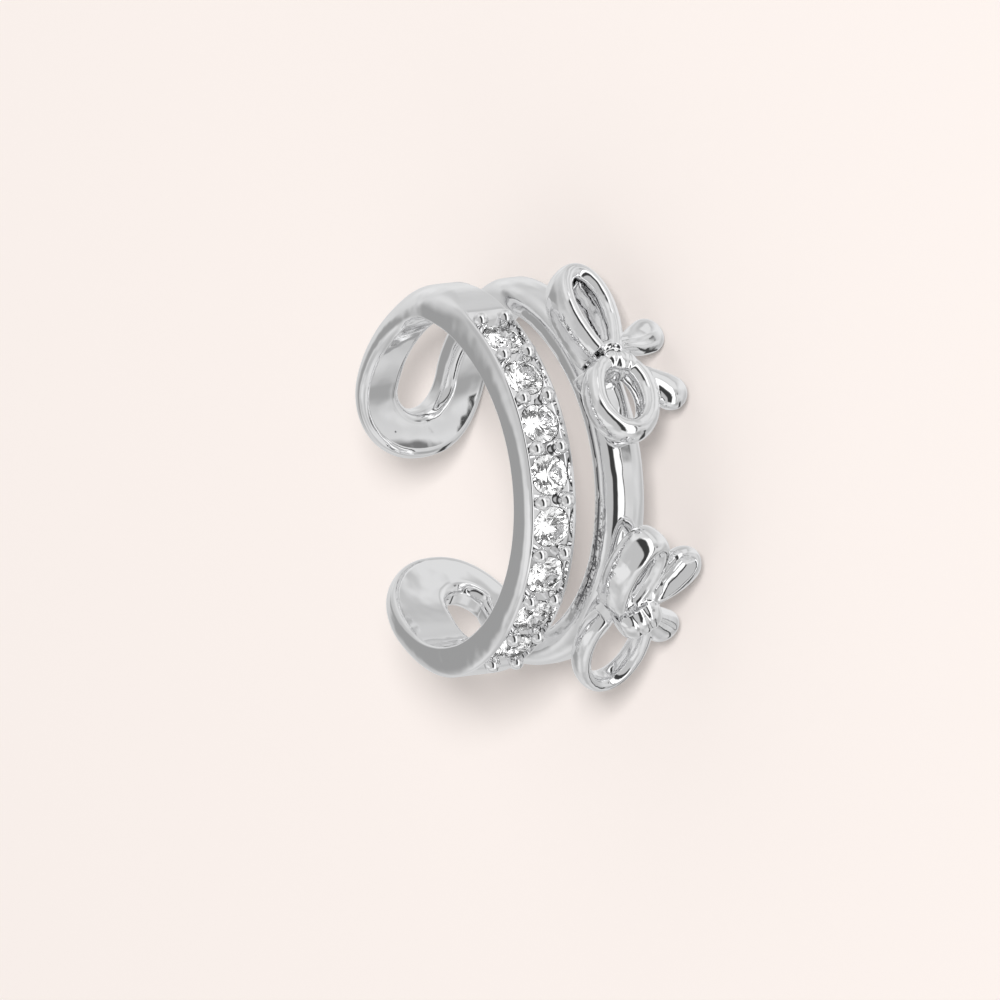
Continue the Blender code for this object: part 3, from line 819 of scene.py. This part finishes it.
def makeBeads():
    spots, outwards = [], []
    offset = stoneRow["diameter"] / 2 - beads["inwards"]
    head = bands["stoneThickness"] + beads["rise"] - beads["sunkBy"] * beads["radius"]
    for i in range(stoneRow["count"] + 1):
        for side in (-1, 1):
            place = bandFrame(stoneLengths[0] + (0.5 - i) * pitchInside, rowAcross + side * offset, head)
            spots.append(place.translation)
            outwards.append(place.to_3x3() @ Vector((0, 0, 1)))
    mesh = bpy.data.meshes.new("bead_prongs")
    mesh.from_pydata(spots, [], [])
    ways = mesh.attributes.new("outwards", "FLOAT_VECTOR", "POINT")
    ways.data.foreach_set("vector", np.array(outwards).ravel())
    guide = bpy.data.objects.new("bead_prongs", mesh)
    bpy.context.collection.objects.link(guide)
    values = {
        "Radius": beads["radius"],
        "Peg Length": beads["peg"],
        "Size Spread": beads["sizeSpread"],
        "Seed": beads["seed"],
        "Material": beadSilver,
    }
    return grown(guide, beadTree(), values)


beadProngs = makeBeads()
print(f"beads raised, {len(beadProngs.data.polygons)} faces")


# The bows: loops, tails, knot and web fused into one casting each
bows = {
    "voxel": 0.03,
    "smoothing": 6,
    "ease": 0.5,
    "seat": 0.34,
    "wireSides": 32,
    "wireRoundness": 0.90,
    "loopFrom": 20,
    "loopSweep": 320,
    "loopSteps": 96,
    "tail": {
        "steps": 14,
        "depth": 0.80,
        "endLeast": 0.003,
        "roundness": 0.95,
        "foldWidth": 0.16,
        "endsAt": 0.97,
        "foldFades": 0.4,
        "scoopFrom": 0.15,
        "scoopGrows": 0.3,
        "scoopFades": 0.2,
        "scoopSteepness": 1.25,
        "scoopAt": -0.34,
        "scoopWidth": 0.52,
    },
    "knot": {
        "rings": 40,
        "sides": 36,
        "roundness": 0.8,
        "endRoundness": 0.62,
        "grooves": (0.18, -0.20),
        "grooveDepth": 0.07,
        "grooveWidth": 0.06,
    },
    "web": {"steps": 10, "width": 0.70, "depth": 0.52, "roundness": 0.8},
    # points in mm from the middle of the knot: along the C, across it towards the stones, outwards
    "upper": {
        "angle": 38,
        "across": -0.36,
        "loops": (
            {"root": (0.20, 0.50, 0), "tip": (3.52, 0.46, 0.02), "width": 2.04, "roll": 4,
             "taper": 0.8, "legs": 0.36, "wire": 0.66, "depth": 1.36},
            {"root": (-0.10, 0.16, 0), "tip": (-2.76, 0.80, 0), "width": 2.46, "roll": 0,
             "taper": 0.22, "legs": 0.40, "wire": 0.68, "depth": 0.98},
        ),
        "tails": (
            {"path": ((0.42, 0.55, 0.18), (0.46, -0.20, 0.36), (0.64, -0.85, 0.14), (1.00, -1.84, 0.10)),
             "widths": (0.50, 0.56, 1.00, 1.26), "crease": 0.26, "creaseAt": 0.48, "hollow": 0.0},
            {"path": ((-0.10, -0.10, 0.0), (-0.70, -0.70, 0.04), (-1.20, -1.25, 0.04), (-1.66, -1.70, 0.0)),
             "widths": (0.50, 0.84, 1.16, 1.20), "crease": 0.0, "creaseAt": 0.0, "hollow": 0.0},
        ),
        "knot": {"size": (0.40, 0.60, 0.54), "turn": -18, "at": (-0.08, 0.10, 0.04)},
        "web": ((-0.05, 0.35, -0.10), (-0.25, 0.95, -0.50), (-0.30, 1.10, -0.75)),
    },
    "lower": {
        "angle": -29,
        "across": -0.50,
        "loops": (
            {"root": (0.30, 0.62, 0.0), "tip": (3.12, 0.38, 0.02), "width": 1.98, "roll": 20,
             "taper": 0.55, "legs": 0.42, "wire": 0.60, "depth": 1.16},
            {"root": (-0.05, 0.44, 0), "tip": (-3.28, 0.10, 0.10), "width": 2.72, "roll": -6,
             "taper": 0.12, "legs": 0.50, "wire": 0.50, "depth": 0.80},
        ),
        "tails": (
            {"path": ((0.15, -0.12, 0.10), (0.85, -0.62, 0.16), (1.48, -1.10, 0.08), (2.12, -1.54, -0.04)),
             "widths": (0.44, 1.06, 1.44, 1.24), "crease": 0.0, "creaseAt": 0.0, "hollow": 0.80},
            {"path": ((-0.10, -0.20, 0.0), (-0.60, -0.80, 0.0), (-1.00, -1.35, 0.0), (-1.36, -1.84, 0.0)),
             "widths": (0.52, 0.86, 1.12, 1.14), "crease": 0.36, "creaseAt": -0.42, "hollow": 0.0},
        ),
        "knot": {"size": (0.60, 0.74, 0.76), "turn": 34, "at": (-0.12, -0.04, 0.20)},
        "web": ((0.00, 0.10, 0.22), (0.42, 0.66, -0.06), (0.66, 1.02, -0.50)),
    },
}


def squarer(x, power):
    return math.copysign(abs(x) ** power, x)


def strap(name, path, widths, depths, up, power, dent=None):
    # a wire with a rounded section; dent(share, across) lowers its upper face
    sides = bows["wireSides"]
    rings = []
    for i, point in enumerate(path):
        along = (path[min(i + 1, len(path) - 1)] - path[max(i - 1, 0)]).normalized()
        side = along.cross(up).normalized()
        lift = side.cross(along).normalized()
        ring = []
        for j in range(sides):
            turn = 2 * math.pi * j / sides
            across = squarer(math.cos(turn), power)
            height = squarer(math.sin(turn), power)
            if dent and height > 0:
                height *= 1 - dent(i / (len(path) - 1), across)
            ring.append(point + across * widths[i] / 2 * side + height * depths[i] / 2 * lift)
        rings.append(ring)
    return skinned(name, rings)


def smoothPath(points, steps):
    # a curve through a few points, with as many steps between each two
    share = np.linspace(0, 1, steps * (len(points) - 1) + 1)
    knots = np.linspace(0, 1, len(points))
    points = np.array(points, dtype=float)
    return np.stack([naturalSpline(knots, points[:, i], share) for i in range(points.shape[1])], 1).tolist()


def makeLoop(name, knot, loop):
    # a teardrop in a plane of its own, rolled about its long axis
    steps = bows["loopSteps"]
    root, tip = Vector(loop["root"]), Vector(loop["tip"])
    ahead = (tip - root).normalized()
    reach = (tip - root).length - loop["wire"] / 2
    roll = Matrix.Rotation(math.radians(loop["roll"]), 3, ahead)
    aside = (roll @ Vector((0, 0, 1)).cross(ahead)).normalized()
    up = knot.to_3x3() @ ahead.cross(aside)
    turns = [math.radians(bows["loopFrom"] + bows["loopSweep"] * j / steps) for j in range(steps + 1)]
    swings = [math.sin(t) * math.sin(t / 2) ** loop["taper"] + loop["legs"] * math.cos(t / 2) for t in turns]
    half = (loop["width"] - loop["wire"]) / 2 / max(swings)
    path = [knot @ (root + reach * (1 - math.cos(t)) / 2 * ahead + half * swing * aside)
            for t, swing in zip(turns, swings)]
    widths, depths = [loop["wire"]] * len(path), [loop["depth"]] * len(path)
    return strap(name, path, widths, depths, up, bows["wireRoundness"])


def makeTail(name, knot, tail):
    # a lobe that widens from the knot, with a fold along it or a spoon's hollow at its end
    shape = bows["tail"]
    path = [knot @ Vector(point) for point in smoothPath(tail["path"], shape["steps"])]
    full = [row[0] for row in smoothPath([(width,) for width in tail["widths"]], shape["steps"])]
    lengths = [0.0]
    for i in range(1, len(path)):
        lengths.append(lengths[-1] + (path[i] - path[i - 1]).length)
    cap = full[-1] / 2
    widths, depths = [], []
    for i, length in enumerate(lengths):
        left = min((lengths[-1] - length) / cap, 1.0)
        roundEnd = math.sqrt(max(1 - (1 - left) ** 2, shape["endLeast"]))
        widths.append(full[i] * roundEnd)
        depths.append(shape["depth"] * full[i] ** 0.5 * roundEnd)

    def dent(share, across):
        toEnd = shape["endsAt"] - share
        fold = tail["crease"] * smoothStep(toEnd / shape["foldFades"])
        fold *= math.exp(-(((across - tail["creaseAt"]) / shape["foldWidth"]) ** 2))
        scoop = tail["hollow"] * smoothStep((share - shape["scoopFrom"]) / shape["scoopGrows"])
        scoop *= smoothStep(toEnd / shape["scoopFades"])
        off = (across - shape["scoopAt"]) / shape["scoopWidth"]
        return fold + scoop * smoothStep(shape["scoopSteepness"] * (1 - off**2))

    up = knot.to_3x3() @ Vector((0, 0, 1))
    return strap(name, path, widths, depths, up, shape["roundness"], dent)


def makeKnot(knot, given):
    # a squarish bead with two shallow grooves round it
    shape = bows["knot"]
    turned = knot @ Matrix.Translation(given["at"]) @ Matrix.Rotation(math.radians(given["turn"]), 4, "Z")
    length, width, height = given["size"]
    rings = []
    for i in range(1, shape["rings"]):
        turn = math.pi * i / shape["rings"]
        across = squarer(math.cos(turn), shape["roundness"])
        waist = 1
        for at in shape["grooves"]:
            waist -= shape["grooveDepth"] * math.exp(-((across * width - at) / shape["grooveWidth"]) ** 2)
        wide = squarer(math.sin(turn), shape["endRoundness"]) * waist
        ring = []
        for j in range(shape["sides"]):
            around = 2 * math.pi * (j + 0.5) / shape["sides"]
            along = length * wide * squarer(math.cos(around), shape["roundness"])
            rise = height * wide * squarer(math.sin(around), shape["roundness"])
            ring.append(turned @ Vector((along, across * width, rise)))
        rings.append(ring)
    return skinned("knot", rings)


def makeBow(name):
    bow, web = bows[name], bows["web"]
    length = lengthAt(bow["angle"])
    _, _, slot, rim = bandEdges(length)
    knot = bandFrame(length, (slot + rim) / 2 + bow["across"], bands["bowThickness"] + bows["seat"])
    up = knot.to_3x3() @ Vector((0, 0, 1))
    parts = [makeLoop(f"loop{i}", knot, loop) for i, loop in enumerate(bow["loops"])]
    parts += [makeTail(f"tail{i}", knot, tail) for i, tail in enumerate(bow["tails"])]
    parts.append(makeKnot(knot, bow["knot"]))
    path = [knot @ Vector(point) for point in smoothPath(bow["web"], web["steps"])]
    widths, depths = [web["width"]] * len(path), [web["depth"]] * len(path)
    parts.append(strap("web", path, widths, depths, up, web["roundness"]))
    whole = joined(f"{name}_bow", parts)
    fuse = whole.modifiers.new("fuse", "REMESH")
    fuse.mode = "VOXEL"
    fuse.voxel_size = bows["voxel"]
    ease = whole.modifiers.new("ease", "SMOOTH")
    ease.factor = bows["ease"]
    ease.iterations = bows["smoothing"]
    return largestShell(applied(whole))


for name in ("upper", "lower"):
    bow = settle(makeBow(name), bowSilver)
    print(f"{name} bow cast, {len(bow.data.polygons)} faces")

addSeam(bandSilver)
settle(cuffBands, bandSilver)
cuffBands.data.set_sharp_from_angle(angle=math.radians(bands["sharpAngle"]))
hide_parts("cuff_frame")
settle(beadProngs, beadSilver)


# Studio: pale floor, one soft lamp, and the grey room with its cards that the polish mirrors
studio = {
    "floor": (0.93, 0.855, 0.815),
    "floorReach": 2,
    "floorRoughness": 0.9,
    "room": 0.68,
    "lamp": {"place": (0.74, 0.36, 0.66), "size": 0.22, "power": 8.2},
    # each card by its middle and width in degrees round, its lower and upper edge, its softness and light
    "cards": {
        "overFlag": (10, 150, 35, 80, 10, 0.56),
        "darkFlag": (20, 112, 11, 36, 7, 0.05),
        "whiteStrip": (12, 120, -14, 9, 6, 1.25),
        "thinFlag": (-2, 56, -19, -16, 2, 0.06),
        "backFlag": (189, 52, 8, 34, 12, 0.36),
        "topLight": (-110, 120, 55, 85, 14, 0.85),
        "lowerFill": (72, 50, -36, -18, 8, 0.80),
        "lowFlag": (22, 14, -34, -25, 5, 0.20),
        "sideFlag": (-48, 24, -34, -20, 6, 0.40),
        "lowerLine": (-78, 76, -45, -38, 3, 0.06),
    },
    "drift": 0.34,
    "driftSize": 1.3,
    "stoneLift": 1.8,
}


def cardMask(tree, turn, rise, card):
    # 1 on the card and 0 off it, with soft edges
    middle, width, low, high, soft, _ = (math.radians(value) for value in card)
    off = wired(tree, "ShaderNodeMath", {"operation": "SUBTRACT"}, _0=turn, _1=middle)
    off = wired(tree, "ShaderNodeMath", {"operation": "WRAP"}, _0=off.outputs[0], _1=math.pi, _2=-math.pi)
    off = wired(tree, "ShaderNodeMath", {"operation": "ABSOLUTE"}, _0=off.outputs[0])
    mask = None
    for value, outer, inner in (
        (off.outputs[0], width / 2 + soft, width / 2 - soft),
        (rise, low - soft / 2, low + soft / 2),
        (rise, high + soft / 2, high - soft / 2),
    ):
        edge = wired(tree, "ShaderNodeMapRange", {"interpolation_type": "SMOOTHSTEP"}, Value=value,
                     From_Min=outer, From_Max=inner).outputs["Result"]
        if mask:
            edge = wired(tree, "ShaderNodeMath", {"operation": "MULTIPLY"}, _0=mask, _1=edge).outputs[0]
        mask = edge
    return mask


def makeWorld():
    world = bpy.data.worlds.new("studio")
    bpy.context.scene.world = world
    world.use_nodes = True
    tree = world.node_tree
    around = tree.nodes.new("ShaderNodeTexCoord").outputs["Generated"]
    way = wired(tree, "ShaderNodeSeparateXYZ", Vector=around).outputs
    turn = wired(tree, "ShaderNodeMath", {"operation": "ARCTAN2"}, _0=way["Y"], _1=way["X"]).outputs[0]
    rise = wired(tree, "ShaderNodeMath", {"operation": "ARCSINE"}, _0=way["Z"]).outputs[0]
    # the room's grey drifts a little from side to side
    darkest, brightest = studio["room"] - studio["drift"] / 2, studio["room"] + studio["drift"] / 2
    cloud = wired(tree, "ShaderNodeTexNoise", Vector=around, Scale=studio["driftSize"], Detail=1.0)
    light = wired(tree, "ShaderNodeMapRange", Value=cloud.outputs["Fac"], From_Min=0.3, From_Max=0.7,
                  To_Min=darkest, To_Max=brightest).outputs["Result"]
    for card in studio["cards"].values():
        mask = cardMask(tree, turn, rise, card)
        mixer = wired(tree, "ShaderNodeMix", {"data_type": "FLOAT"}, _0=mask, _2=light, _3=card[-1])
        light = mixer.outputs[0]
    # the rays that leave the stones meet the lit side of the cards
    ray = tree.nodes.new("ShaderNodeLightPath").outputs["Is Transmission Ray"]
    lift = wired(tree, "ShaderNodeMapRange", Value=ray, To_Min=1.0, To_Max=studio["stoneLift"])
    lifted = {"_0": light, "_1": lift.outputs["Result"]}
    light = wired(tree, "ShaderNodeMath", {"operation": "MULTIPLY"}, **lifted).outputs[0]
    tree.links.new(light, tree.nodes["Background"].inputs["Strength"])
    tree.nodes["Background"].inputs["Color"].default_value = (1, 1, 1, 1)


def makeFloor():
    # the polish mirrors the room's cards below the horizon too, so the floor lets its rays through
    material, shader = shaderOf("paleFloor", studio["floor"], studio["floorRoughness"], 0.0)
    shader.inputs["Specular IOR Level"].default_value = 0.0
    tree = material.node_tree
    clearFloor = tree.nodes.new("ShaderNodeBsdfTransparent")
    ray = tree.nodes.new("ShaderNodeLightPath")
    both = wired(tree, "ShaderNodeMixShader", _0=ray.outputs["Is Glossy Ray"], _1=shader.outputs[0],
                 _2=clearFloor.outputs[0])
    tree.links.new(both.outputs[0], tree.nodes["Material Output"].inputs["Surface"])
    far = studio["floorReach"]
    corners = [(-far, -far, 0), (far, -far, 0), (far, far, 0), (-far, far, 0)]
    floor = meshPiece("floor", corners, [(0, 1, 2, 3)])
    floor.data.materials.append(material)


def makeLamp():
    lamp = studio["lamp"]
    data = bpy.data.lights.new("softLamp", "AREA")
    data.size = lamp["size"]
    data.energy = lamp["power"]
    light = bpy.data.objects.new("softLamp", data)
    bpy.context.collection.objects.link(light)
    light.location = lamp["place"]
    light.rotation_euler = (-Vector(lamp["place"])).to_track_quat("-Z", "Y").to_euler()
    light.visible_glossy = False


makeWorld()
makeFloor()
makeLamp()
bpy.context.scene.view_settings.view_transform = "Standard"
print("studio set")
